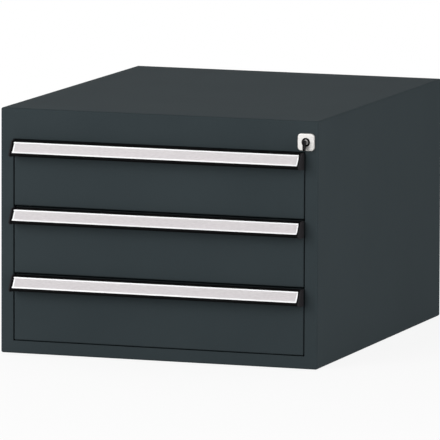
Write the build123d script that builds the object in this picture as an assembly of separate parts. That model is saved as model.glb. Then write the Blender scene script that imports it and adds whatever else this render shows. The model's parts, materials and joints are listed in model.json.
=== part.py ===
from build123d import *
import math
import os

# Folded steel drawer cabinet in millimetres: origin under the middle of the base, front faces -Y

# Carcass
cabinet_width = 500.0
cabinet_depth = 600.0
cabinet_height = 370.0
sheet = 1.2
bend_radius = 3.0
stile_width = 20.0
top_rail_height = 46.0
sill_height = 19.0
return_depth = 15.0
opening_edge_radius = 0.9
back_flange = 15.0
back_panel_clearance = 0.3
base_hole_radius = 4.5
base_hole_side_inset = 50.0
base_hole_end_inset = 50.0

# Drawer fronts
drawer_count = 3
drawer_travel = 500.0
front_side_gap = 1.5
front_stack_gap = 2.5
front_depth = 18.0
front_sheet = 1.2
front_edge_radius = 2.0
front_rear_flange = 30.0

# Drawer trays
tray_sheet = 1.0
tray_rear_room = 42.0
tray_lift = 8.0
tray_wall_height = 78.0
tray_bend_radius = 2.0
tray_hem = 5.0

# Ball runners: outer on the upright, inner on the tray, middle between two ball rows
runner_space = 13.0
runner_lift = 38.0
runner_end_gap = 1.0
runner_half_height = 22.5
runner_wall = 1.5
runner_outer_flange = 10.5
runner_middle_set = 3.5
runner_middle_flange = 7.5
runner_inner_flange = 6.5
runner_middle_short = 20.0
ball_gap = 4.5
ball_clearance = 0.1
ball_row_end = 10.0
balls_in_row = 7
cage_thickness = 0.8
cage_clearance = 0.6

# Uprights that carry the runners
upright_inset = 4.0
upright_width = 30.0
upright_sheet = 1.5
upright_front_setback = 38.0
upright_rear_setback = 55.0
upright_end_gap = 4.0
upright_slot_width = 6.0
upright_slot_height = 14.0
upright_slot_pitch = 28.0
upright_slot_edge = 5.0

# Grip rail with its label holder, along the top of each front
grip_top_drop = 3.6
grip_top_reach = 12.5
grip_low_reach = 22.5
grip_face_height = 15.3
grip_ledge = 1.0
grip_wall = 2.2
grip_lip = 3.2
grip_lip_radius = 1.4
grip_flange_height = 24.0
holder_depth = 2.4
holder_clearance = 0.1
holder_wall = 1.0
holder_hook = 1.2
holder_hook_thickness = 0.7
holder_end_margin = 2.8
label_thickness = 0.5
label_clearance = 0.1
label_end_margin = 2.4
cap_thickness = 1.6
cap_margin = 1.2
cap_corner_radius = 1.5
cap_spigot_length = 6.0
cap_spigot_clearance = 0.3

# Screws
screw_radius = 2.0
screw_hole_clearance = 0.2
screw_head_radius = 4.0
screw_head_height = 2.2
screw_head_round = 1.2
screw_socket_radius = 1.6
screw_socket_depth = 1.1
screw_tail = 1.0
runner_head_height = 1.5
runner_head_round = 0.6
runner_socket_depth = 0.8
front_screw_side_inset = 7.0
front_screw_low = 20.0
front_screw_high = 62.0
inner_screw_end_inset = 80.0
grip_screw_end_inset = 60.0

# Central lock
lock_inset = 18.0
lock_rise = 14.8
rosette_size = 26.0
rosette_thickness = 4.0
rosette_corner_radius = 5.5
rosette_rim_radius = 1.4
collar_radius = 6.6
collar_depth = 1.4
collar_clearance = 0.1
barrel_radius = 5.6
barrel_clearance = 0.3
nut_across_flats = 17.0
nut_thickness = 5.0
plug_radius = 3.8
plug_clearance = 0.05
plug_proud = 0.4
tail_radius = 3.0
tail_clearance = 0.05
cam_radius = 9.6
cam_thickness = 2.0
cam_gap = 0.5
cam_pin_radius = 2.0
cam_pin_overrun = 1.0
key_blade_width = 1.8
key_blade_height = 5.0
key_blade_depth = 20.0
key_clearance = 0.2
key_bow_depth = 11.0
key_bow_height = 16.2
key_bow_drop = 4.3
key_bow_corner = 3.8
key_bow_thickness = 2.4
key_bow_edge = 0.8
key_neck = 1.2
key_hole_radius = 1.9
key_hole_offset = 3.8

# Lock bar behind the right stile
bar_setback = 26.5
bar_thickness = 3.0
bar_width = 14.0
bar_travel = 10.0
bar_foot = 26.0
bar_head = 8.0
bar_slot_side = 0.5
bar_slot_play = 0.7
tongue_height = 10.0
tongue_rise = 3.0
tongue_clearance = 4.5
guide_height = 10.0
guide_wall = 3.0
guide_clearance = 0.3
guide_rise = 38.0
catch_reach = 10.0
catch_height = 10.0
catch_lift = 66.0
catch_gap = 1.0
catch_sheet = 2.0
catch_foot = 20.0

overrun = 1.0

# Places worked out from the sizes
front_y = -cabinet_depth / 2
rear_y = cabinet_depth / 2
side_inner = cabinet_width / 2 - sheet
opening_half = cabinet_width / 2 - stile_width
rail_bottom = cabinet_height - top_rail_height
zone_height = (rail_bottom - sill_height) / drawer_count
front_half = opening_half - front_side_gap
tray_front = front_y + front_depth
tray_rear = rear_y - tray_rear_room
upright_face = opening_half - upright_inset
tray_half = upright_face - runner_space
runner_front = tray_front + runner_end_gap
runner_rear = tray_rear - runner_end_gap
middle_rear = runner_rear - runner_middle_short
ball_row_length = middle_rear - runner_front - drawer_travel / 2 - 4 * ball_row_end
middle_half_height = runner_half_height - runner_wall - ball_gap
inner_half_height = middle_half_height - runner_wall - ball_gap
upright_front_y = front_y + upright_front_setback
upright_rear_y = rear_y - upright_rear_setback - upright_width
face_run = grip_low_reach - grip_top_reach
face_length = math.hypot(face_run, grip_face_height)
slope_out = face_run / face_length
slope_down = grip_face_height / face_length
grip_half = front_half - cap_thickness
holder_half = grip_half - holder_end_margin
lock_x = cabinet_width / 2 - lock_inset
lock_z = rail_bottom + lock_rise
bar_front = front_y + bar_setback
bar_rear = bar_front + bar_thickness
cam_front = bar_front - cam_gap - cam_thickness
cam_throw = bar_travel / math.sqrt(2)
plug_front = front_y - rosette_thickness - plug_proud


# Zone of one drawer, counted from the top
def zone_bottom(number):
    return rail_bottom - number * zone_height


# Basic solids
def block(x0, x1, y0, y1, z0, z1):
    middle = Pos((x0 + x1) / 2, (y0 + y1) / 2, (z0 + z1) / 2)
    return middle * Box(x1 - x0, y1 - y0, z1 - z0)


def rounded_block(x0, x1, y0, y1, z0, z1, radius):
    solid = block(x0, x1, y0, y1, z0, z1)
    return fillet(solid.edges(), radius)


def rod(radius, start, along, length):
    base = Plane(origin=start, z_dir=along)
    return base * Cylinder(radius, length, align=(Align.CENTER, Align.CENTER, Align.MIN))


def prism(points, x0, x1):
    outline = Plane.YZ * make_face(Polyline(*points, close=True))
    return Pos(x0, 0, 0) * extrude(outline, amount=x1 - x0)


def edge_along_x(solid, y, z):
    runs = solid.edges().filter_by(Axis.X)
    return runs.sort_by_distance((solid.center().X, y, z))[0]


def across(solid):
    return mirror(solid, about=Plane.YZ)


def screw(point, along, head_height, head_round, socket_depth, length):
    out = Vector(*along) * -1
    head = rod(screw_head_radius, point, out, head_height)
    top = Vector(*point) + out * head_height
    rim = head.edges().filter_by(GeomType.CIRCLE).sort_by_distance(top)[0]
    head = fillet(rim, head_round)
    socket = Plane(origin=top, z_dir=along) * RegularPolygon(screw_socket_radius, 6)
    head = head - extrude(socket, amount=socket_depth)
    return head + rod(screw_radius, point, along, length)


def pan_screw(point, along, length):
    return screw(point, along, screw_head_height, screw_head_round, screw_socket_depth, length)


def runner_screw(point, along, length):
    return screw(point, along, runner_head_height, runner_head_round, runner_socket_depth, length)


def screw_hole(point, along, depth):
    start = Vector(*point) - Vector(*along) * overrun
    return rod(screw_radius + screw_hole_clearance, start, along, depth + 2 * overrun)


def save(name, *solids):
    shape = solids[0] if len(solids) == 1 else Compound(children=list(solids))
    export_step(shape, os.path.join("parts", name + ".step"))


# Carcass: one bent skin, parted into its panels along the bends
def carcass_skin():
    half_width = cabinet_width / 2
    outside = rounded_block(
        -half_width, half_width, front_y, rear_y, 0, cabinet_height, bend_radius)
    inside = rounded_block(
        -side_inner, side_inner, front_y + sheet, rear_y - sheet,
        sheet, cabinet_height - sheet, bend_radius - sheet)
    front_window = block(
        -opening_half, opening_half, front_y - overrun, front_y + bend_radius,
        sill_height, rail_bottom)
    rear_half = half_width - back_flange
    rear_window = block(
        -rear_half, rear_half, rear_y - bend_radius, rear_y + overrun,
        back_flange, cabinet_height - back_flange)
    return outside - inside - front_window - rear_window


def side_panel_right(skin):
    half_width = cabinet_width / 2
    low, high = bend_radius, cabinet_height - bend_radius
    wall = block(half_width - bend_radius, half_width, front_y, rear_y, low, high)
    stile = block(
        opening_half, half_width, front_y, front_y + bend_radius, sill_height, rail_bottom)
    flange = block(half_width - back_flange, half_width, rear_y - bend_radius, rear_y, low, high)
    panel = skin & (wall + stile + flange)
    panel = panel + block(
        opening_half, opening_half + sheet, front_y + sheet / 2, front_y + return_depth,
        sill_height, rail_bottom)
    edges = panel.edges().filter_by(Axis.Z)
    corner = (opening_half, front_y, (sill_height + rail_bottom) / 2)
    return fillet(edges.sort_by_distance(corner)[0], opening_edge_radius)


def top_panel(skin):
    half_width = cabinet_width / 2
    inset = half_width - bend_radius
    rear_half = half_width - back_flange
    roof = block(
        -half_width, half_width, front_y, rear_y, cabinet_height - bend_radius, cabinet_height)
    rail = block(-inset, inset, front_y, front_y + bend_radius, rail_bottom, cabinet_height)
    flange = block(
        -rear_half, rear_half, rear_y - bend_radius, rear_y,
        cabinet_height - back_flange, cabinet_height)
    panel = skin & (roof + rail + flange)
    panel = panel + block(
        -opening_half, opening_half, front_y + sheet / 2, front_y + return_depth,
        rail_bottom, rail_bottom + sheet)
    lock_hole = rod(
        barrel_radius + barrel_clearance, (lock_x, front_y - overrun, lock_z), (0, 1, 0),
        sheet + 2 * overrun)
    return panel - lock_hole


def base_panel(skin):
    half_width = cabinet_width / 2
    inset = half_width - bend_radius
    rear_half = half_width - back_flange
    floor = block(-half_width, half_width, front_y, rear_y, 0, bend_radius)
    sill = block(-inset, inset, front_y, front_y + bend_radius, 0, sill_height)
    flange = block(-rear_half, rear_half, rear_y - bend_radius, rear_y, 0, back_flange)
    panel = skin & (floor + sill + flange)
    panel = panel + block(
        -opening_half, opening_half, front_y + sheet / 2, front_y + return_depth,
        sill_height - sheet, sill_height)
    hole_x = half_width - base_hole_side_inset
    hole_y = rear_y - base_hole_end_inset
    for x in (-hole_x, hole_x):
        for y in (-hole_y, hole_y):
            panel = panel - rod(base_hole_radius, (x, y, -overrun), (0, 0, 1), sheet + 2 * overrun)
    return panel


def back_panel():
    margin = bend_radius + back_panel_clearance
    half = cabinet_width / 2 - margin
    inner_face = rear_y - sheet
    return block(-half, half, inner_face - sheet, inner_face, margin, cabinet_height - margin)


# Uprights: slotted channels welded to the side panels
def upright(y0):
    low = sheet + upright_end_gap
    high = cabinet_height - sheet - upright_end_gap
    y1 = y0 + upright_width
    post = block(upright_face, side_inner, y0, y1, low, high)
    hollow = block(
        upright_face + upright_sheet, side_inner + overrun,
        y0 + upright_sheet, y1 - upright_sheet, low - overrun, high + overrun)
    post = post - hollow
    slots = int((high - low - upright_slot_pitch) / upright_slot_pitch) + 1
    slot_y = y0 + upright_sheet + upright_slot_edge
    for index in range(slots):
        z = low + (index + 0.5) * upright_slot_pitch
        post = post - block(
            upright_face - overrun, upright_face + upright_sheet + overrun,
            slot_y, slot_y + upright_slot_width, z, z + upright_slot_height)
    return post


def runner_screw_places(number):
    z = zone_bottom(number) + runner_lift
    y_step = upright_width / 2 + upright_slot_width / 2
    return [(upright_front_y + y_step, z), (upright_rear_y + y_step, z)]


def drilled_uprights():
    posts = []
    for y0 in (upright_front_y, upright_rear_y):
        post = upright(y0)
        for number in range(1, drawer_count + 1):
            for y, z in runner_screw_places(number):
                if y0 < y < y0 + upright_width:
                    post = post - screw_hole((upright_face, y, z), (1, 0, 0), upright_sheet)
        posts.append(post)
    return posts + [across(post) for post in posts]


# Runner members on the right side
def channel(web_x, open_x, half_height, y0, y1, z):
    toward = math.copysign(1, open_x - web_x)
    low_x, high_x = sorted((web_x, open_x))
    body = block(low_x, high_x, y0, y1, z - half_height, z + half_height)
    cut_low, cut_high = sorted((web_x + toward * runner_wall, open_x + toward * overrun))
    clear = half_height - runner_wall
    return body - block(cut_low, cut_high, y0 - overrun, y1 + overrun, z - clear, z + clear)


def runner_outer(number):
    z = zone_bottom(number) + runner_lift
    rail = channel(
        upright_face, upright_face - runner_outer_flange, runner_half_height,
        runner_front, runner_rear, z)
    for y, z in runner_screw_places(number):
        rail = rail - screw_hole((upright_face - runner_wall, y, z), (1, 0, 0), runner_wall)
    return rail


def runner_middle(number):
    web = upright_face - runner_middle_set
    z = zone_bottom(number) + runner_lift
    return channel(
        web, web - runner_middle_flange, middle_half_height,
        runner_front, middle_rear, z)


def inner_screw_places(number):
    z = zone_bottom(number) + runner_lift
    return [(runner_front + inner_screw_end_inset, z), (runner_rear - inner_screw_end_inset, z)]


def runner_inner(number):
    z = zone_bottom(number) + runner_lift
    rail = channel(
        tray_half, tray_half + runner_inner_flange, inner_half_height,
        runner_front, runner_rear, z)
    for y, z in inner_screw_places(number):
        rail = rail - screw_hole((tray_half, y, z), (1, 0, 0), runner_wall)
    return rail


# One row of balls in its cage
def ball_row(x, y0, z):
    reach = ball_gap / 2 - cage_clearance
    row = block(
        x - cage_thickness / 2, x + cage_thickness / 2, y0, y0 + ball_row_length,
        z - reach, z + reach)
    radius = ball_gap / 2 - ball_clearance
    step = (ball_row_length - 2 * ball_row_end) / (balls_in_row - 1)
    for index in range(balls_in_row):
        row = row + Pos(x, y0 + ball_row_end + index * step, z) * Sphere(radius)
    return row


def ball_rows(number):
    z = zone_bottom(number) + runner_lift
    web = upright_face - runner_middle_set
    outer_x = (web + upright_face - runner_outer_flange) / 2
    inner_x = (web - runner_middle_flange + tray_half + runner_inner_flange) / 2
    outer_y = middle_rear - ball_row_end - ball_row_length
    inner_y = runner_front + ball_row_end
    rows = []
    for way in (-1, 1):
        rows.append(ball_row(outer_x, outer_y, z + way * (middle_half_height + ball_gap / 2)))
        rows.append(ball_row(inner_x, inner_y, z + way * (inner_half_height + ball_gap / 2)))
    return rows + [across(row) for row in rows]


def runner_screws():
    screws = []
    length = runner_wall + upright_sheet + screw_tail
    for number in range(1, drawer_count + 1):
        for y, z in runner_screw_places(number):
            screws.append(runner_screw((upright_face - runner_wall, y, z), (1, 0, 0), length))
    return screws + [across(item) for item in screws]


# Drawer front: a pan with rounded front edges and two flanges behind
def front_screw_places(number):
    x = tray_half - tray_sheet - front_screw_side_inset
    floor = zone_bottom(number) + tray_lift
    heights = (floor + front_screw_low, floor + front_screw_high)
    return [(side * x, z) for side in (-1, 1) for z in heights]


def grip_screw_places():
    reach = grip_half - grip_screw_end_inset
    return [-reach, 0, reach]


def grip_screw_height(number):
    top = zone_bottom(number) + zone_height - grip_top_drop
    return top - (grip_flange_height + grip_wall) / 2


def drawer_front(number):
    low = zone_bottom(number) + front_stack_gap / 2
    high = low + zone_height - front_stack_gap
    solid = block(-front_half, front_half, front_y, tray_front, low, high)
    face_edges = solid.faces().sort_by(Axis.Y)[0].edges()
    long_edges = solid.edges().filter_by(Axis.Y)
    solid = fillet(face_edges + long_edges, front_edge_radius)
    inner = block(
        -front_half + front_sheet, front_half - front_sheet,
        front_y + front_sheet, tray_front - front_sheet, low + front_sheet, high - front_sheet)
    window_half = front_half - front_rear_flange
    window = block(
        -window_half, window_half, tray_front - 2 * front_sheet, tray_front + overrun,
        low + front_sheet, high - front_sheet)
    solid = solid - inner - window
    for x, z in front_screw_places(number):
        solid = solid - screw_hole((x, tray_front, z), (0, -1, 0), front_sheet)
    for x in grip_screw_places():
        place = (x, front_y, grip_screw_height(number))
        solid = solid - screw_hole(place, (0, 1, 0), front_sheet)
    return solid


# Drawer tray: folded box, open on top, with a hemmed rim along both sides
def folded_tray(number):
    low = zone_bottom(number) + tray_lift
    high = low + tray_wall_height
    solid = block(-tray_half, tray_half, tray_front, tray_rear, low, high)
    bends = solid.faces().sort_by(Axis.Z)[0].edges() + solid.edges().filter_by(Axis.Z)
    solid = fillet(bends, tray_bend_radius)
    hollow = block(
        -tray_half + tray_sheet, tray_half - tray_sheet, tray_front + tray_sheet,
        tray_rear - tray_sheet, low + tray_sheet, high + overrun)
    bends = hollow.faces().sort_by(Axis.Z)[0].edges() + hollow.edges().filter_by(Axis.Z)
    solid = solid - fillet(bends, tray_bend_radius - tray_sheet)
    for side in (-1, 1):
        x0, x1 = sorted((side * (tray_half - tray_hem), side * (tray_half - tray_sheet / 2)))
        solid = solid + block(
            x0, x1, tray_front + tray_bend_radius, tray_rear - tray_bend_radius,
            high - tray_sheet, high)
        for y, z in inner_screw_places(number):
            start = (side * (tray_half - tray_sheet), y, z)
            solid = solid - screw_hole(start, (side, 0, 0), tray_sheet)
    for x, z in front_screw_places(number):
        solid = solid - screw_hole((x, tray_front, z), (0, 1, 0), tray_sheet)
    return solid


# The tray parted along its bends: floor, two end walls, two side walls
def drawer_tray(number):
    tray = folded_tray(number)
    low = zone_bottom(number) + tray_lift
    high = low + tray_wall_height
    half = tray_half - tray_bend_radius
    front, rear = tray_front + tray_bend_radius, tray_rear - tray_bend_radius
    floor = block(-half, half, front, rear, low, low + tray_sheet)
    front_wall = block(-half, half, tray_front, front, low, high)
    rear_wall = block(-half, half, rear, tray_rear, low, high)
    side = block(half, tray_half, tray_front, tray_rear, low, high)
    side = side + block(tray_half - tray_hem, half, front, rear, high - tray_sheet, high)
    return [tray & cut for cut in (floor, front_wall, rear_wall, side, across(side))]


def drawer_screws(number):
    screws = []
    for x, z in front_screw_places(number):
        place = (x, tray_front + tray_sheet, z)
        screws.append(pan_screw(place, (0, -1, 0), tray_sheet + front_sheet + screw_tail))
    for side in (-1, 1):
        for y, z in inner_screw_places(number):
            place = (side * (tray_half - tray_sheet), y, z)
            screws.append(pan_screw(place, (side, 0, 0), tray_sheet + runner_wall + screw_tail))
    for x in grip_screw_places():
        place = (x, front_y - grip_wall, grip_screw_height(number))
        screws.append(runner_screw(place, (0, 1, 0), grip_wall + front_sheet + screw_tail))
    return screws


# Grip rail: places on its tilted face, measured down the face and out of it
def face_point(number, down, out):
    top = zone_bottom(number) + zone_height - grip_top_drop
    reach = grip_top_reach + slope_out * down + slope_down * out
    return (front_y - reach, top - slope_down * down + slope_out * out)


def grip_crown(number):
    return zone_bottom(number) + zone_height - front_stack_gap / 2


def grip_rail(number):
    ledge = face_point(number, -grip_ledge, 0)
    crown = grip_crown(number)
    depth = holder_depth + grip_wall
    under = ledge[1] - grip_wall
    start = face_point(number, 0, -depth)
    inner_down = (start[1] - under) / slope_down
    seat = face_length + holder_clearance
    end = face_length + grip_lip
    foot = ledge[1] - grip_flange_height
    points = [
        (front_y, crown),
        (front_y - grip_wall, crown),
        (front_y - grip_wall, ledge[1]),
        ledge,
        face_point(number, -holder_clearance, 0),
        face_point(number, -holder_clearance, -holder_depth),
        face_point(number, seat, -holder_depth),
        face_point(number, seat, 0),
        face_point(number, end, 0),
        face_point(number, end, -depth),
        face_point(number, inner_down, -depth),
        (front_y - grip_wall, under),
        (front_y - grip_wall, foot),
        (front_y, foot),
    ]
    rail = prism(points, -grip_half, grip_half)
    lip_edges = [edge_along_x(rail, *face_point(number, end, out)) for out in (0, -depth)]
    rail = fillet(lip_edges, grip_lip_radius)
    for x in grip_screw_places():
        place = (x, front_y - grip_wall, grip_screw_height(number))
        rail = rail - screw_hole(place, (0, 1, 0), grip_wall)
    return rail


# Label holder: flat channel with two hooked edges, let into the tilted face
def label_holder(number):
    hook = holder_wall + holder_hook
    floor = -holder_depth + holder_wall
    under = -holder_hook_thickness
    outline = [
        (0, -holder_depth),
        (0, 0),
        (hook, 0),
        (hook, under),
        (holder_wall, under),
        (holder_wall, floor),
        (face_length - holder_wall, floor),
        (face_length - holder_wall, under),
        (face_length - hook, under),
        (face_length - hook, 0),
        (face_length, 0),
        (face_length, -holder_depth),
    ]
    points = [face_point(number, down, out) for down, out in outline]
    return prism(points, -holder_half, holder_half)


def label_strip(number):
    floor = -holder_depth + holder_wall
    first = holder_wall + label_clearance
    last = face_length - holder_wall - label_clearance
    outline = [
        (first, floor),
        (first, floor + label_thickness),
        (last, floor + label_thickness),
        (last, floor),
    ]
    points = [face_point(number, down, out) for down, out in outline]
    half = holder_half - label_end_margin
    return prism(points, -half, half)


# End cap: closes the grip rail, with a spigot in its hollow
def grip_end_cap(number):
    ledge = face_point(number, -grip_ledge, 0)
    depth = holder_depth + grip_wall
    end = face_length + grip_lip + cap_margin
    crown = grip_crown(number)
    foot = ledge[1] - grip_flange_height
    corners = [
        (ledge[0], crown),
        face_point(number, end, cap_margin),
        face_point(number, end, -depth),
    ]
    points = [(front_y, crown)] + corners + [(front_y, foot)]
    plate = prism(points, grip_half, front_half)
    plate = fillet([edge_along_x(plate, *corner) for corner in corners], cap_corner_radius)
    under = ledge[1] - grip_wall - cap_spigot_clearance
    back = front_y - grip_wall - cap_spigot_clearance
    inner_out = -depth - cap_spigot_clearance
    start = face_point(number, 0, inner_out)
    spigot = [
        (back, under),
        face_point(number, (start[1] - under) / slope_down, inner_out),
        face_point(number, face_length, inner_out),
        (back, foot),
    ]
    return plate + prism(spigot, grip_half - cap_spigot_length, grip_half)


# Catch that the lock bar holds, on the right tray wall
def lock_catch(number):
    low = zone_bottom(number) + catch_lift
    high = low + catch_height
    y0 = bar_rear + catch_gap
    lug = block(tray_half, tray_half + catch_reach, y0, y0 + catch_sheet, low, high)
    foot = block(tray_half, tray_half + catch_sheet, y0, y0 + catch_foot, low, high)
    return lug + foot


# Lock: rosette and barrel on the top rail, plug with key and cam turning in it
def lock_rosette():
    back = Plane(origin=(lock_x, front_y, lock_z), z_dir=(0, -1, 0))
    outline = RectangleRounded(rosette_size, rosette_size, rosette_corner_radius)
    solid = extrude(back * outline, amount=rosette_thickness)
    solid = fillet(solid.faces().sort_by(Axis.Y)[0].edges(), rosette_rim_radius)
    bore = rod(
        barrel_radius + collar_clearance, (lock_x, front_y + overrun, lock_z), (0, -1, 0),
        rosette_thickness + 2 * overrun)
    seat = rod(
        collar_radius + collar_clearance,
        (lock_x, front_y - rosette_thickness + collar_depth, lock_z), (0, -1, 0),
        collar_depth + overrun)
    return solid - bore - seat


def lock_housing():
    collar_front = front_y - rosette_thickness
    length = cam_front - cam_gap - collar_front
    collar = rod(collar_radius, (lock_x, collar_front, lock_z), (0, 1, 0), collar_depth)
    barrel = rod(barrel_radius, (lock_x, collar_front, lock_z), (0, 1, 0), length)
    bore = rod(
        plug_radius + plug_clearance, (lock_x, collar_front - overrun, lock_z), (0, 1, 0),
        length + 2 * overrun)
    return collar + barrel - bore


def lock_nut():
    seat = Plane(origin=(lock_x, front_y + sheet, lock_z), x_dir=(1, 0, 0), z_dir=(0, 1, 0))
    corner_radius = nut_across_flats / math.sqrt(3)
    solid = extrude(seat * RegularPolygon(corner_radius, 6), amount=nut_thickness)
    bore = rod(
        barrel_radius + collar_clearance, (lock_x, front_y, lock_z), (0, 1, 0),
        sheet + nut_thickness + overrun)
    return solid - bore


def lock_plug():
    length = cam_front - cam_gap - plug_front
    solid = rod(plug_radius, (lock_x, plug_front, lock_z), (0, 1, 0), length)
    tail_end = cam_front + cam_thickness
    solid = solid + rod(tail_radius, (lock_x, plug_front, lock_z), (0, 1, 0), tail_end - plug_front)
    half_width = key_blade_width / 2 + key_clearance
    half_height = key_blade_height / 2 + key_clearance
    keyway = block(
        lock_x - half_width, lock_x + half_width,
        plug_front - overrun, plug_front + key_blade_depth + key_clearance,
        lock_z - half_height, lock_z + half_height)
    return solid - keyway


# Key: its bow hangs below the line of the blade, with the ring hole at the low end
def key():
    half_width = key_blade_width / 2
    half_height = key_blade_height / 2
    bow_y = plug_front - key_neck - key_bow_depth / 2
    bow_z = lock_z - key_bow_drop
    blade = block(
        lock_x - half_width, lock_x + half_width, bow_y, plug_front + key_blade_depth,
        lock_z - half_height, lock_z + half_height)
    half_bow = key_bow_thickness / 2
    side = Plane(origin=(lock_x - half_bow, bow_y, bow_z), x_dir=(0, 1, 0), z_dir=(1, 0, 0))
    outline = RectangleRounded(key_bow_depth, key_bow_height, key_bow_corner)
    bow = extrude(side * outline, amount=key_bow_thickness)
    faces = bow.faces().sort_by(Axis.X)
    bow = fillet(faces[0].edges() + faces[-1].edges(), key_bow_edge)
    hole = rod(
        key_hole_radius, (lock_x - half_bow - overrun, bow_y, bow_z - key_hole_offset), (1, 0, 0),
        key_bow_thickness + 2 * overrun)
    return blade + bow - hole


def lock_cam():
    disc = rod(cam_radius, (lock_x, cam_front, lock_z), (0, 1, 0), cam_thickness)
    bore = rod(
        tail_radius + tail_clearance, (lock_x, cam_front - overrun, lock_z), (0, 1, 0),
        cam_thickness + 2 * overrun)
    reach = cam_throw / math.sqrt(2)
    pin_length = cam_thickness + cam_gap + bar_thickness + cam_pin_overrun
    pin = rod(cam_pin_radius, (lock_x + reach, cam_front, lock_z + reach), (0, 1, 0), pin_length)
    return disc - bore + pin


# Lock bar with one tongue over each catch, raised while the lock is open
def lock_bar():
    x1 = lock_x + bar_width
    pin_z = lock_z + bar_travel / 2
    bar = block(
        lock_x, x1, bar_front, bar_rear, sill_height + bar_foot, pin_z + cam_pin_radius + bar_head)
    for number in range(1, drawer_count + 1):
        low = zone_bottom(number) + catch_lift + catch_height + tongue_rise
        bar = bar + block(
            tray_half + tongue_clearance, x1, bar_front, bar_rear, low, low + tongue_height)
    near = lock_x + cam_throw / math.sqrt(2) - cam_pin_radius - bar_slot_side
    far = lock_x + cam_throw + cam_pin_radius + bar_slot_side
    half_slot = cam_pin_radius + bar_slot_play
    return bar - block(
        near, far, bar_front - overrun, bar_rear + overrun, pin_z - half_slot, pin_z + half_slot)


def lock_bar_guide(number):
    x0 = lock_x - guide_clearance
    x1 = lock_x + bar_width + guide_clearance
    y0 = bar_front - guide_clearance
    y1 = bar_rear + guide_clearance
    low = zone_bottom(number) + guide_rise
    high = low + guide_height
    body = block(x0 - guide_wall, side_inner, y0 - guide_wall, y1 + guide_wall, low, high)
    return body - block(x0, x1, y0, y1, low - overrun, high + overrun)


# Write every piece
os.makedirs("parts", exist_ok=True)
skin = carcass_skin()
right_panel = side_panel_right(skin)
save("right_side_panel", right_panel)
save("left_side_panel", across(right_panel))
save("top_panel", top_panel(skin))
save("base_panel", base_panel(skin))
save("back_panel", back_panel())
save("runner_uprights", *drilled_uprights())
save("runner_screws", *runner_screws())

for number in range(1, drawer_count + 1):
    outer, middle, inner = runner_outer(number), runner_middle(number), runner_inner(number)
    save(f"runner_outer_right_{number}", outer)
    save(f"runner_outer_left_{number}", across(outer))
    save(f"runner_middle_right_{number}", middle)
    save(f"runner_middle_left_{number}", across(middle))
    save(f"runner_inner_right_{number}", inner)
    save(f"runner_inner_left_{number}", across(inner))
    save(f"runner_ball_rows_{number}", *ball_rows(number))
    save(f"drawer_front_{number}", drawer_front(number))
    save(f"drawer_tray_{number}", *drawer_tray(number))
    save(f"drawer_screws_{number}", *drawer_screws(number))
    save(f"lock_catch_{number}", lock_catch(number))
    save(f"grip_rail_{number}", grip_rail(number))
    save(f"label_holder_{number}", label_holder(number))
    save(f"label_strip_{number}", label_strip(number))
    cap = grip_end_cap(number)
    save(f"grip_end_caps_{number}", cap, across(cap))

save("lock_rosette", lock_rosette())
save("lock_housing", lock_housing())
save("lock_nut", lock_nut())
save("lock_plug", lock_plug())
save("lock_cam", lock_cam())
save("key", key())
save("lock_bar", lock_bar())
save("lock_bar_guides", lock_bar_guide(1), lock_bar_guide(drawer_count))
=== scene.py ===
import json
import math
import bmesh
import bpy
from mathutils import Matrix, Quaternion, Vector


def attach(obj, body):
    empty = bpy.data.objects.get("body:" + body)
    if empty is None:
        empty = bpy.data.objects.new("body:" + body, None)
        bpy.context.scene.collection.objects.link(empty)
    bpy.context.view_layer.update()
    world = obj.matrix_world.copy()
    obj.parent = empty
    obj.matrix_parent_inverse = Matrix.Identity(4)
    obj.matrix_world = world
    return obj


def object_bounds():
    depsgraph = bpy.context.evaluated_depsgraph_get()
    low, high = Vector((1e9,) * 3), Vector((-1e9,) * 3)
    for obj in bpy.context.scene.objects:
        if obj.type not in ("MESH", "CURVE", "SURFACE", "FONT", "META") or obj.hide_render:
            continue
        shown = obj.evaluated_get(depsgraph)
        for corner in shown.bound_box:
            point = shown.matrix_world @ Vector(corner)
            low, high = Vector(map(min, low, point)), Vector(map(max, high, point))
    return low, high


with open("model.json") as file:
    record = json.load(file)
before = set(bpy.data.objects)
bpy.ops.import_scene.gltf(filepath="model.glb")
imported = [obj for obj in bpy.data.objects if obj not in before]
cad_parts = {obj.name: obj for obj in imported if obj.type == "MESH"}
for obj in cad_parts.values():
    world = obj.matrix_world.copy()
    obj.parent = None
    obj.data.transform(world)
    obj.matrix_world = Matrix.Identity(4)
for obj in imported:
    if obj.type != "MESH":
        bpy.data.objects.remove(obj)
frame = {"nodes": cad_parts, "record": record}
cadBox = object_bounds()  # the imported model's own box

plainWhite = (1.0, 1.0, 1.0, 1.0)
noiseSpan = (0.30, 0.70)  # nearly all values of a noise texture lie in here


# Node helpers: one call makes a node with its settings and socket values
def addNode(tree, kind, values=None, **settings):
    node = tree.nodes.new(kind)
    for name, value in settings.items():
        setattr(node, name, value)
    for name, value in (values or {}).items():
        node.inputs[name].default_value = value
    return node


def feed(tree, source, socket):
    if isinstance(source, bpy.types.NodeSocket):
        tree.links.new(source, socket)
    else:
        socket.default_value = source


def maths(tree, kind, first, second):
    node = addNode(tree, "ShaderNodeMath", operation=kind)
    for source, socket in zip((first, second), node.inputs):
        feed(tree, source, socket)
    return node.outputs["Value"]


def startFinish(name, values):
    finish = bpy.data.materials.new(name)
    finish.use_nodes = True
    shader = finish.node_tree.nodes["Principled BSDF"]
    for socket, value in values.items():
        shader.inputs[socket].default_value = value
    return finish, finish.node_tree, shader


def objectPlace(tree, stretch=None):
    place = addNode(tree, "ShaderNodeTexCoord").outputs["Object"]
    if stretch is None:
        return place
    mapping = addNode(tree, "ShaderNodeMapping", {"Scale": stretch})
    tree.links.new(place, mapping.inputs["Vector"])
    return mapping.outputs["Vector"]


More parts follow.
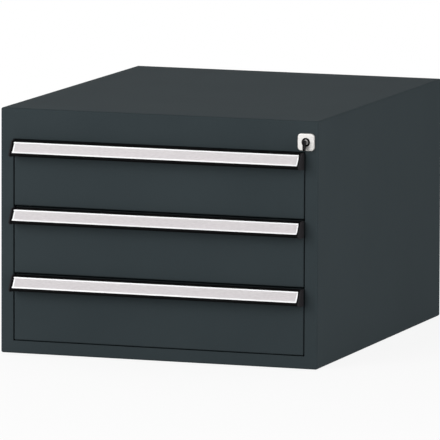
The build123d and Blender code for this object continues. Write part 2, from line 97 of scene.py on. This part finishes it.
def noise(tree, detail, scale=1.0, stretch=None):
    node = addNode(tree, "ShaderNodeTexNoise", {"Scale": scale, "Detail": detail})
    tree.links.new(objectPlace(tree, stretch), node.inputs["Vector"])
    return node.outputs["Fac"]


def toneRamp(tree, source, stops):
    ramp = addNode(tree, "ShaderNodeValToRGB")
    for point, (position, tone) in zip(ramp.color_ramp.elements, stops):
        point.position = position
        point.color = (*tone, 1.0)
    tree.links.new(source, ramp.inputs["Fac"])
    return ramp.outputs["Color"]


def noiseTones(tree, source, plan):
    return toneRamp(tree, source, zip(noiseSpan, (plan["dark"], plan["light"])))


def spread(tree, source, low, high):
    start, end = noiseSpan
    node = addNode(tree, "ShaderNodeMapRange", {
        "From Min": start, "From Max": end, "To Min": low, "To Max": high})
    tree.links.new(source, node.inputs["Value"])
    return node.outputs["Result"]


def mixTones(tree, share, first, second):
    node = addNode(tree, "ShaderNodeMix", data_type="RGBA")
    sockets = {socket.identifier: socket for socket in node.inputs}
    for source, label in zip((share, first, second), ("Factor_Float", "A_Color", "B_Color")):
        feed(tree, source, sockets[label])
    return next(socket for socket in node.outputs if socket.identifier == "Result_Color")


def bumpFrom(tree, shader, height, strength, depth):
    bump = addNode(tree, "ShaderNodeBump", {"Strength": strength, "Distance": depth})
    tree.links.new(height, bump.inputs["Height"])
    tree.links.new(bump.outputs["Normal"], shader.inputs["Normal"])


# Tone, gloss and relief that all follow one grain
def dressFrom(tree, shader, grain, plan, strength):
    tree.links.new(noiseTones(tree, grain, plan), shader.inputs["Base Color"])
    tree.links.new(spread(tree, grain, *plan["roughness"]), shader.inputs["Roughness"])
    bumpFrom(tree, shader, grain, strength, plan["depth"])


# Anthracite powder coat of the casing and the drawer fronts
powderCoat = {
    "dark": (0.0285, 0.0380, 0.0420),   # hollows of the orange peel
    "light": (0.0365, 0.0475, 0.0520),
    "specular": 0.03,
    "roughness": (0.70, 0.82),
    "peelScale": 640.0,                 # ripples per metre
    "peelBump": 0.35,
    "peelDepth": 0.00007,
    "cloudScale": 6.0,                  # slow change of tone over a panel
    "cloudShare": 0.35,
    "detail": 3.0,
}


def paintPowderCoat(name, plan):
    finish, tree, shader = startFinish(name, {"Specular IOR Level": plan["specular"]})
    peel = noise(tree, plan["detail"], plan["peelScale"])
    cloud = noise(tree, plan["detail"], plan["cloudScale"])
    tone = mixTones(tree, plan["cloudShare"], noiseTones(tree, peel, plan), noiseTones(tree, cloud, plan))
    tree.links.new(tone, shader.inputs["Base Color"])
    tree.links.new(spread(tree, peel, *plan["roughness"]), shader.inputs["Roughness"])
    bumpFrom(tree, shader, peel, plan["peelBump"], plan["peelDepth"])
    return finish


# The same coat inside the trays, rubbed by what slides in them
trayCoat = {
    "scuffTone": (0.075, 0.082, 0.086, 1.0),
    "scuffStretch": (90.0, 5.0, 90.0),  # scratches run along the drawer
    "scuffDetail": 6.0,
    "scuffStart": 0.62,                 # noise value at which a scratch begins
    "scuffFade": 0.12,
    "scuffShare": 0.55,                 # how much of the coat a scratch takes
}


def paintTray(name, plan, coat):
    finish = paintPowderCoat(name, coat)
    tree = finish.node_tree
    shader = tree.nodes["Principled BSDF"]
    base = shader.inputs["Base Color"].links[0].from_socket
    scratch = noise(tree, plan["scuffDetail"], stretch=plan["scuffStretch"])
    start, end = plan["scuffStart"], plan["scuffStart"] + plan["scuffFade"]
    whole, worn = (0.0, 0.0, 0.0), (plan["scuffShare"],) * 3
    mask = toneRamp(tree, scratch, [(start, whole), (end, worn)])
    tree.links.new(mixTones(tree, mask, base, plan["scuffTone"]), shader.inputs["Base Color"])
    return finish


# Hot-dip zinc with its crystal spangle, on the uprights, catches, lock bar and cam
spangledZinc = {
    "dark": (0.40, 0.41, 0.42),
    "light": (0.66, 0.67, 0.68),
    "roughness": (0.30, 0.48),
    "spangleScale": 85.0,               # crystals per metre
    "spangleBump": 0.15,
    "spangleDepth": 0.00008,
    "grainScale": 900.0,
    "grainDetail": 3.0,
    "grainShare": 0.25,
}


def platedSpangle(name, plan):
    finish, tree, shader = startFinish(name, {"Metallic": 1.0})
    crystal = addNode(tree, "ShaderNodeTexVoronoi", {"Scale": plan["spangleScale"]})
    tree.links.new(objectPlace(tree), crystal.inputs["Vector"])
    shade = addNode(tree, "ShaderNodeSeparateColor")
    tree.links.new(crystal.outputs["Color"], shade.inputs["Color"])
    tone = toneRamp(tree, shade.outputs["Red"], [(0.0, plan["dark"]), (1.0, plan["light"])])
    fine = noiseTones(tree, noise(tree, plan["grainDetail"], plan["grainScale"]), plan)
    tree.links.new(mixTones(tree, plan["grainShare"], tone, fine), shader.inputs["Base Color"])
    tree.links.new(spread(tree, shade.outputs["Green"], *plan["roughness"]), shader.inputs["Roughness"])
    bumpFrom(tree, shader, shade.outputs["Blue"], plan["spangleBump"], plan["spangleDepth"])
    return finish


# Bare metal: drawn along one axis on the runners, label holders and lock face, even on screws and balls
drawnMetal = {
    "runner": {
        "dark": (0.38, 0.39, 0.41), "light": (0.58, 0.59, 0.61),
        "roughness": (0.24, 0.40), "stretch": (700.0, 7.0, 700.0), "depth": 0.00002},
    "holder": {
        "dark": (0.67, 0.67, 0.68), "light": (0.77, 0.77, 0.77),
        "roughness": (0.46, 0.58), "stretch": (6.0, 900.0, 900.0), "depth": 0.00001},
    "nickel": {
        "dark": (0.46, 0.452, 0.44), "light": (0.60, 0.59, 0.575),
        "roughness": (0.44, 0.56), "stretch": (40.0, 1200.0, 1200.0), "depth": 0.00001},
    "screw": {
        "dark": (0.50, 0.51, 0.54), "light": (0.68, 0.67, 0.63),
        "roughness": (0.24, 0.38), "stretch": (420.0, 420.0, 420.0), "depth": 0.00002},
    "ball": {
        "dark": (0.62, 0.62, 0.64), "light": (0.74, 0.74, 0.75),
        "roughness": (0.07, 0.16), "stretch": (260.0, 260.0, 260.0), "depth": 0.000005},
}
metalGrain = {"detail": 5.0, "bump": 0.20}  # the same on each of them


def drawMetal(name, plan):
    finish, tree, shader = startFinish(name, {"Metallic": 1.0})
    streak = noise(tree, metalGrain["detail"], stretch=plan["stretch"])
    dressFrom(tree, shader, streak, plan, metalGrain["bump"])
    return finish


# Black pieces: moulded grip, bar guides and end caps, die-cast lock housing, coated key
blackFinish = {
    "grip": {
        "dark": (0.0016, 0.0016, 0.0018), "light": (0.0036, 0.0036, 0.0039), "specular": 0.03,
        "roughness": (0.40, 0.55), "grainScale": 1500.0, "depth": 0.00006},
    "cap": {
        "dark": (0.0185, 0.0175, 0.0190), "light": (0.0285, 0.0270, 0.0295), "specular": 0.03,
        "roughness": (0.46, 0.60), "grainScale": 1500.0, "depth": 0.00006},
    "casting": {
        "dark": (0.0020, 0.0020, 0.0022), "light": (0.0046, 0.0046, 0.0050), "specular": 0.04,
        "roughness": (0.42, 0.60), "grainScale": 1100.0, "depth": 0.00005},
    "key": {
        "dark": (0.0022, 0.0022, 0.0025), "light": (0.0050, 0.0050, 0.0054), "specular": 0.06,
        "roughness": (0.30, 0.46), "grainScale": 800.0, "depth": 0.00003},
}
blackGrain = {"detail": 2.0, "bump": 0.40}  # the same on each of them


def mouldBlack(name, plan):
    finish, tree, shader = startFinish(name, {"Specular IOR Level": plan["specular"]})
    grain = noise(tree, blackGrain["detail"], plan["grainScale"])
    dressFrom(tree, shader, grain, plan, blackGrain["bump"])
    return finish


# Off-white card of the label strips
labelCard = {
    "dark": (0.600, 0.570, 0.580),
    "light": (0.680, 0.650, 0.660),
    "specular": 0.20,
    "roughness": (0.66, 0.80),
    "fibreStretch": (160.0, 900.0, 900.0),
    "fibreDetail": 6.0,
    "fibreBump": 0.25,
    "depth": 0.00003,
}


def printCard(name, plan):
    finish, tree, shader = startFinish(name, {"Specular IOR Level": plan["specular"]})
    fibre = noise(tree, plan["fibreDetail"], stretch=plan["fibreStretch"])
    dressFrom(tree, shader, fibre, plan, plan["fibreBump"])
    return finish


finishes = {
    "body_paint": paintPowderCoat("anthracitePowderCoat", powderCoat),
    "tray_paint": paintTray("trayPowderCoat", trayCoat, powderCoat),
    "upright_zinc": platedSpangle("spangledZinc", spangledZinc),
    "runner_zinc": drawMetal("drawnZinc", drawnMetal["runner"]),
    "ball_steel": drawMetal("bearingSteel", drawnMetal["ball"]),
    "screw_zinc": drawMetal("screwZinc", drawnMetal["screw"]),
    "grip_black": mouldBlack("gripBlack", blackFinish["grip"]),
    "cap_charcoal": mouldBlack("capCharcoal", blackFinish["cap"]),
    "holder_aluminium": drawMetal("anodisedHolder", drawnMetal["holder"]),
    "label_white": printCard("labelCard", labelCard),
    "lock_nickel": drawMetal("satinNickel", drawnMetal["nickel"]),
    "lock_black": mouldBlack("dieCastBlack", blackFinish["casting"]),
    "key_black": mouldBlack("coatedKey", blackFinish["key"]),
}
for part in frame["record"]["subparts"]:
    for slot in frame["nodes"][part["node"]].material_slots:
        slot.material = finishes[part["material_slot"]]
print("finishes:", len(finishes), "on", len(frame["nodes"]), "nodes")


# Blind rivets that hold the back panel to the flanges round it
backRivets = {
    "sizes": {
        "Head Radius": 0.0040,
        "Hole Radius": 0.0013,
        "Head Height": 0.0012,
        "Stem Height": 0.0005,
        "Pitch": 0.0950,
    },
    "flangeInset": 0.0075,   # rivet line, in from the edge of the cabinet
    "cornerInset": 0.0450,   # first rivet, in from the corner
    "ringSteps": 28,
    "tubeSteps": 14,
    "stemSides": 20,
}


def rivetTree(plan, finish):
    tree = bpy.data.node_groups.new("backRivets", "GeometryNodeTree")
    tree.interface.new_socket("Geometry", in_out="INPUT", socket_type="NodeSocketGeometry")
    for label in plan["sizes"]:
        tree.interface.new_socket(label, in_out="INPUT", socket_type="NodeSocketFloat")
    tree.interface.new_socket("Geometry", in_out="OUTPUT", socket_type="NodeSocketGeometry")
    sizes = addNode(tree, "NodeGroupInput").outputs
    link = tree.links.new

    # Ring of the head: half of a flattened tube round the stem hole
    both = maths(tree, "ADD", sizes["Head Radius"], sizes["Hole Radius"])
    wall = maths(tree, "SUBTRACT", sizes["Head Radius"], sizes["Hole Radius"])
    middle = maths(tree, "MULTIPLY", both, 0.5)
    tube = maths(tree, "MULTIPLY", wall, 0.5)
    rail = addNode(tree, "GeometryNodeCurvePrimitiveCircle", {"Resolution": plan["ringSteps"]})
    profile = addNode(tree, "GeometryNodeCurvePrimitiveCircle", {"Resolution": plan["tubeSteps"]})
    ring = addNode(tree, "GeometryNodeCurveToMesh")
    link(middle, rail.inputs["Radius"])
    link(tube, profile.inputs["Radius"])
    link(rail.outputs["Curve"], ring.inputs["Curve"])
    link(profile.outputs["Curve"], ring.inputs["Profile Curve"])

    # Stem in the hole, taller by what the flattening takes off again
    flatten = maths(tree, "DIVIDE", sizes["Head Height"], tube)
    halfStem = maths(tree, "DIVIDE", sizes["Stem Height"], flatten)
    stem = addNode(tree, "GeometryNodeMeshCylinder", {"Vertices": plan["stemSides"]})
    link(sizes["Hole Radius"], stem.inputs["Radius"])
    link(maths(tree, "MULTIPLY", halfStem, 2.0), stem.inputs["Depth"])
    head = addNode(tree, "GeometryNodeJoinGeometry")
    link(ring.outputs["Mesh"], head.inputs["Geometry"])
    link(stem.outputs["Mesh"], head.inputs["Geometry"])

    # What lies under the sheet is pressed flat on it
    place = addNode(tree, "ShaderNodeSeparateXYZ")
    link(addNode(tree, "GeometryNodeInputPosition").outputs["Position"], place.inputs["Vector"])
    above = maths(tree, "MAXIMUM", place.outputs["Z"], 0.0)
    pressed = addNode(tree, "ShaderNodeCombineXYZ")
    link(place.outputs["X"], pressed.inputs["X"])
    link(place.outputs["Y"], pressed.inputs["Y"])
    link(maths(tree, "MULTIPLY", above, flatten), pressed.inputs["Z"])
    seated = addNode(tree, "GeometryNodeSetPosition")
    link(head.outputs["Geometry"], seated.inputs["Geometry"])
    link(pressed.outputs["Vector"], seated.inputs["Position"])

    # One head on each step along the guide lines, turned to face the rear
    path = addNode(tree, "GeometryNodeMeshToCurve")
    steps = addNode(tree, "GeometryNodeResampleCurve", mode="LENGTH")
    heads = addNode(tree, "GeometryNodeInstanceOnPoints", {"Rotation": (-math.pi / 2, 0.0, 0.0)})
    real = addNode(tree, "GeometryNodeRealizeInstances")
    painted = addNode(tree, "GeometryNodeSetMaterial", {"Material": finish})
    link(sizes["Geometry"], path.inputs["Mesh"])
    link(path.outputs["Curve"], steps.inputs["Curve"])
    link(sizes["Pitch"], steps.inputs["Length"])
    link(steps.outputs["Curve"], heads.inputs["Points"])
    link(seated.outputs["Geometry"], heads.inputs["Instance"])
    link(heads.outputs["Instances"], real.inputs["Geometry"])
    link(real.outputs["Geometry"], painted.inputs["Geometry"])
    link(painted.outputs["Geometry"], addNode(tree, "NodeGroupOutput").inputs["Geometry"])
    return tree


def rivetLines(plan):
    low, high = cadBox
    flange, corner = plan["flangeInset"], plan["cornerInset"]
    sideX, endX = high.x - flange, high.x - corner
    lowZ, highZ = low.z + flange, high.z - flange
    endLow, endHigh = low.z + corner, high.z - corner
    runs = [((-sideX, endLow), (-sideX, endHigh)), ((sideX, endLow), (sideX, endHigh)),
            ((-endX, lowZ), (endX, lowZ)), ((-endX, highZ), (endX, highZ))]
    points = [(x, high.y, z) for run in runs for x, z in run]
    edges = [(end, end + 1) for end in range(0, len(points), 2)]
    mesh = bpy.data.meshes.new("rivetLines")
    mesh.from_pydata(points, edges, [])
    return mesh


def setRivets(plan, finish):
    guide = bpy.data.objects.new("rivetGuide", rivetLines(plan))
    bpy.context.scene.collection.objects.link(guide)
    modifier = guide.modifiers.new("rivets", "NODES")
    modifier.node_group = rivetTree(plan, finish)
    for item in modifier.node_group.interface.items_tree:
        if item.in_out == "INPUT" and item.name in plan["sizes"]:
            modifier[item.identifier] = plan["sizes"][item.name]
    shown = guide.evaluated_get(bpy.context.evaluated_depsgraph_get())
    mesh = bpy.data.meshes.new_from_object(shown)
    bpy.data.objects.remove(guide)
    mesh.shade_smooth()
    rivets = bpy.data.objects.new("back_rivets", mesh)
    bpy.context.scene.collection.objects.link(rivets)
    return rivets


rivets = setRivets(backRivets, finishes["screw_zinc"])
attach(rivets, "carcass")
print("back rivets:", len(rivets.data.polygons), "faces")


# Studio: pale floor, even sky, soft lamps
studio = {
    "floorRadius": 40.0,
    "floorSides": 96,
    "floorDrop": 0.0005,        # just under the base
    "floorTone": (0.92, 0.92, 0.92, 1.0),
    "nearWhite": 0.88,          # share of plain white beside the cabinet, the rest takes its shadow
    "whiteFrom": (0.9, 3.0),    # metres over which the floor goes to plain white
    "skyLevel": 0.41,
    "aim": (0.0, 0.0, 0.18),
    "lamps": [
        {"name": "key", "azimuth": -25.0, "elevation": 20.0, "distance": 4.5, "size": 3.4, "level": 0.58},
        {"name": "fill", "azimuth": 76.0, "elevation": 12.0, "distance": 4.5, "size": 3.4, "level": 0.42},
        {"name": "rear", "azimuth": -115.0, "elevation": 12.0, "distance": 4.5, "size": 3.4, "level": 0.30},
        # Low strip behind, out of the mirror line of the top and of the right side
        {"name": "rearStrip", "azimuth": -164.0, "elevation": 0.0, "distance": 3.6, "size": 1.6,
         "height": 0.28, "level": 0.30},
    ],
}


# Rays that see the plain white background instead of the studio's own light
def seenRays(tree):
    rays = addNode(tree, "ShaderNodeLightPath").outputs
    sharp = maths(tree, "MAXIMUM", rays["Is Camera Ray"], rays["Is Glossy Ray"])
    return maths(tree, "MAXIMUM", sharp, rays["Is Transmission Ray"])


def mixShaders(tree, share, first, second):
    mix = addNode(tree, "ShaderNodeMixShader")
    for source, socket in zip((share, first, second), mix.inputs):
        tree.links.new(source, socket)
    return mix.outputs["Shader"]


def floorFinish(plan):
    finish = bpy.data.materials.new("paleFloor")
    finish.use_nodes = True
    tree = finish.node_tree
    tree.nodes.clear()
    matt = addNode(tree, "ShaderNodeBsdfDiffuse", {"Color": plan["floorTone"]})
    white = addNode(tree, "ShaderNodeEmission", {"Color": plainWhite, "Strength": 1.0})
    reach = addNode(tree, "ShaderNodeVectorMath", operation="LENGTH")
    tree.links.new(objectPlace(tree), reach.inputs["Vector"])
    near, far = plan["whiteFrom"]
    share = addNode(tree, "ShaderNodeMapRange", {
        "From Min": near, "From Max": far, "To Min": plan["nearWhite"], "To Max": 1.0})
    tree.links.new(reach.outputs["Value"], share.inputs["Value"])
    seen = maths(tree, "MULTIPLY", seenRays(tree), share.outputs["Result"])
    mixed = mixShaders(tree, seen, matt.outputs["BSDF"], white.outputs["Emission"])
    tree.links.new(mixed, addNode(tree, "ShaderNodeOutputMaterial").inputs["Surface"])
    return finish


def layFloor(plan):
    mesh = bpy.data.meshes.new("floor")
    disc = bmesh.new()
    bmesh.ops.create_circle(disc, cap_ends=True, segments=plan["floorSides"], radius=plan["floorRadius"])
    bmesh.ops.translate(disc, verts=disc.verts, vec=(0.0, 0.0, -plan["floorDrop"]))
    disc.to_mesh(mesh)
    disc.free()
    mesh.materials.append(floorFinish(plan))
    floor = bpy.data.objects.new("floor", mesh)
    bpy.context.scene.collection.objects.link(floor)


def hangSky(plan):
    sky = bpy.data.worlds.new("studioSky")
    sky.use_nodes = True
    tree = sky.node_tree
    tree.nodes.clear()
    soft = addNode(tree, "ShaderNodeBackground", {"Color": plainWhite, "Strength": plan["skyLevel"]})
    white = addNode(tree, "ShaderNodeBackground", {"Color": plainWhite, "Strength": 1.0})
    mixed = mixShaders(tree, seenRays(tree), soft.outputs["Background"], white.outputs["Background"])
    tree.links.new(mixed, addNode(tree, "ShaderNodeOutputWorld").inputs["Surface"])
    bpy.context.scene.world = sky


# Puts a lamp or the camera at its distance from the aim, facing it
def standOff(thing, plan, aim):
    turn, rise = math.radians(plan["azimuth"]), math.radians(plan["elevation"])
    level = math.cos(rise)
    off = Vector((math.sin(turn) * level, -math.cos(turn) * level, math.sin(rise)))
    thing.location = Vector(aim) + off * plan["distance"]
    thing.rotation_mode = "QUATERNION"
    thing.rotation_quaternion = (-off).to_track_quat("-Z", "Y")
    bpy.context.scene.collection.objects.link(thing)


def hangLamp(plan, aim):
    lamp = bpy.data.lights.new(plan["name"], "AREA")
    lamp.shape = "RECTANGLE" if "height" in plan else "DISK"
    lamp.size = plan["size"]
    lamp.size_y = plan.get("height", plan["size"])
    lamp.energy = plan["level"] * (math.pi * plan["distance"]) ** 2  # level 1 shows a colour as written
    standOff(bpy.data.objects.new(plan["name"], lamp), plan, aim)


layFloor(studio)
hangSky(studio)
for lampPlan in studio["lamps"]:
    hangLamp(lampPlan, studio["aim"])
print("studio: floor, sky and", len(studio["lamps"]), "lamps")


# Camera at the photograph's viewpoint
cameraPlan = {
    "aim": (0.0, 0.0, 0.185),
    "azimuth": 19.184,
    "elevation": 7.497,
    "roll": 0.224,
    "distance": 11.720,
    "lens": 629.8,
    "sensor": 36.0,
    "shift": (-0.01030, -0.01505),
    "clipEnd": 200.0,
}


def setCamera(plan):
    lens = bpy.data.cameras.new("photoCamera")
    lens.sensor_width = plan["sensor"]
    lens.lens = plan["lens"]
    lens.shift_x, lens.shift_y = plan["shift"]
    lens.clip_end = plan["clipEnd"]
    camera = bpy.data.objects.new("photoCamera", lens)
    standOff(camera, plan, plan["aim"])
    roll = Quaternion((0.0, 0.0, 1.0), math.radians(plan["roll"]))
    camera.rotation_quaternion = camera.rotation_quaternion @ roll
    bpy.context.scene.camera = camera


setCamera(cameraPlan)
bpy.context.scene.view_settings.view_transform = "Standard"
print("camera set")
